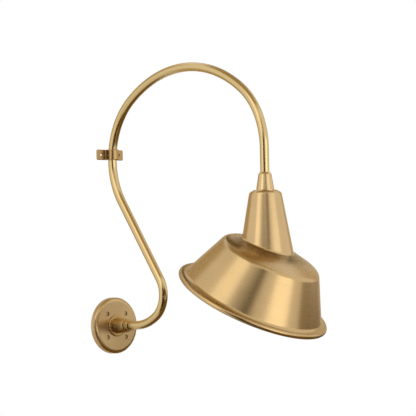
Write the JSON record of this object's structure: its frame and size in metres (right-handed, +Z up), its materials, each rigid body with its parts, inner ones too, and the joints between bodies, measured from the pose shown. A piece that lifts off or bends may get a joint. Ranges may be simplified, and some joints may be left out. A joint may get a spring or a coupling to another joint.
{
  "type": "gooseneck wall sconce",
  "caption": "Brass gooseneck wall light: a round canopy and bent tube arm, held to the wall by a strap clip, carry a tilted bell shade on a conical neck that swivels.",
  "frame": {"origin": "middle of the canopy's back, in the plane of the wall, at the box screws' centre", "axes": "+Z up; the wall is the plane Y = 0 and the light stands out along -Y; +X to the right when facing the wall"},
  "size_m": [0.3364, 0.6265, 0.6383],
  "materials": {
    "satin_brass": "satin, spun and brushed, aged",
    "plain_brass": "plain turned",
    "zinc_steel": "zinc plated",
    "green_steel": "green ground screw",
    "porcelain": "glazed porcelain",
    "lead_jacket": "matt black jacket"
  },
  "bodies": {
    "wall_arm": {"canopy": "satin_brass", "mounting_plate": "zinc_steel", "canopy_screws": "satin_brass", "ground_screw": "green_steel", "hub_flange": "satin_brass", "hub": "satin_brass", "hub_grub_screw": "zinc_steel", "hub_collar": "satin_brass", "hub_nipple": "zinc_steel", "hub_washer": "zinc_steel", "hub_nut": "zinc_steel", "gooseneck_tube": "satin_brass", "supply_lead": "lead_jacket", "wall_clip": "satin_brass", "ferrule": "satin_brass", "arm_bushing": "plain_brass", "arm_nipple": "zinc_steel", "cover_washer": "satin_brass", "swivel_washer": "plain_brass", "swivel_nut": "zinc_steel", "holder_cap": "plain_brass", "holder_body": "porcelain", "lamp_shell": "plain_brass", "lamp_contact": "plain_brass"},
    "head": {"neck": "satin_brass", "shade": "satin_brass"}
  },
  "joints": [
    {"name": "head_swivel", "type": "hinge", "parent": "wall_arm", "child": "head", "pos_m": [0, -0.51396, 0.28], "axis": [0, 0, 1], "continuous": true}
  ]
}
